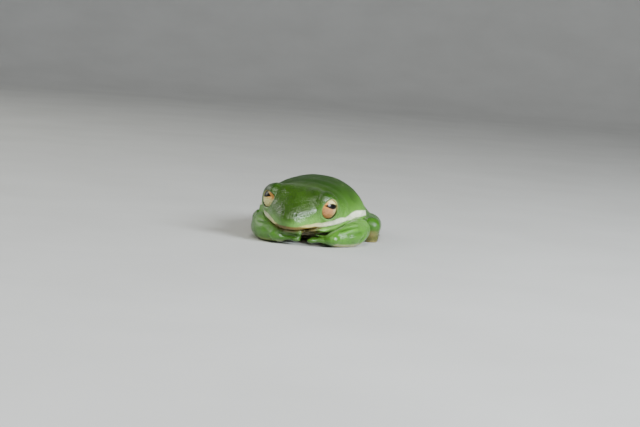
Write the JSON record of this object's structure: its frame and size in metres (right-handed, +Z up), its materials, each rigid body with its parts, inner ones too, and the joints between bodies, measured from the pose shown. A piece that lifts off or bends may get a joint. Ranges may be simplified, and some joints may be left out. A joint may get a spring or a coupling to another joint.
{
  "type": "green tree frog model",
  "caption": "Life-size still model of a green tree frog resting flat, limbs tucked under, head turned a little, with golden eyes and a white side stripe.",
  "frame": {"origin": "on the floor, under the middle of the bounding box", "axes": "the frog faces -Y, its left side is at +X, +Z is up"},
  "size_m": [0.027, 0.048, 0.0123],
  "materials": {
    "head_skin": "smooth, moist green skin",
    "back_skin": "smooth, moist green skin, white along the flank and below",
    "throat_skin": "pale yellow-green skin",
    "eye": "wet, clear-coated golden iris with a dark slit pupil",
    "limb_skin": "smooth, moist green skin",
    "foot_skin": "thin olive-green skin, with glossy toe discs"
  },
  "bodies": {
    "root": {"head": "head_skin", "lower_jaw": "throat_skin", "trunk": "back_skin", "eye_left": "eye", "eye_right": "eye", "upper_arm_left": "limb_skin", "upper_arm_right": "limb_skin", "forearm_left": "limb_skin", "forearm_right": "limb_skin", "hand_left": "foot_skin", "hand_right": "foot_skin", "thigh_left": "limb_skin", "thigh_right": "limb_skin", "shank_left": "limb_skin", "shank_right": "limb_skin", "foot_left": "foot_skin", "foot_right": "foot_skin"}
  },
  "joints": []
}
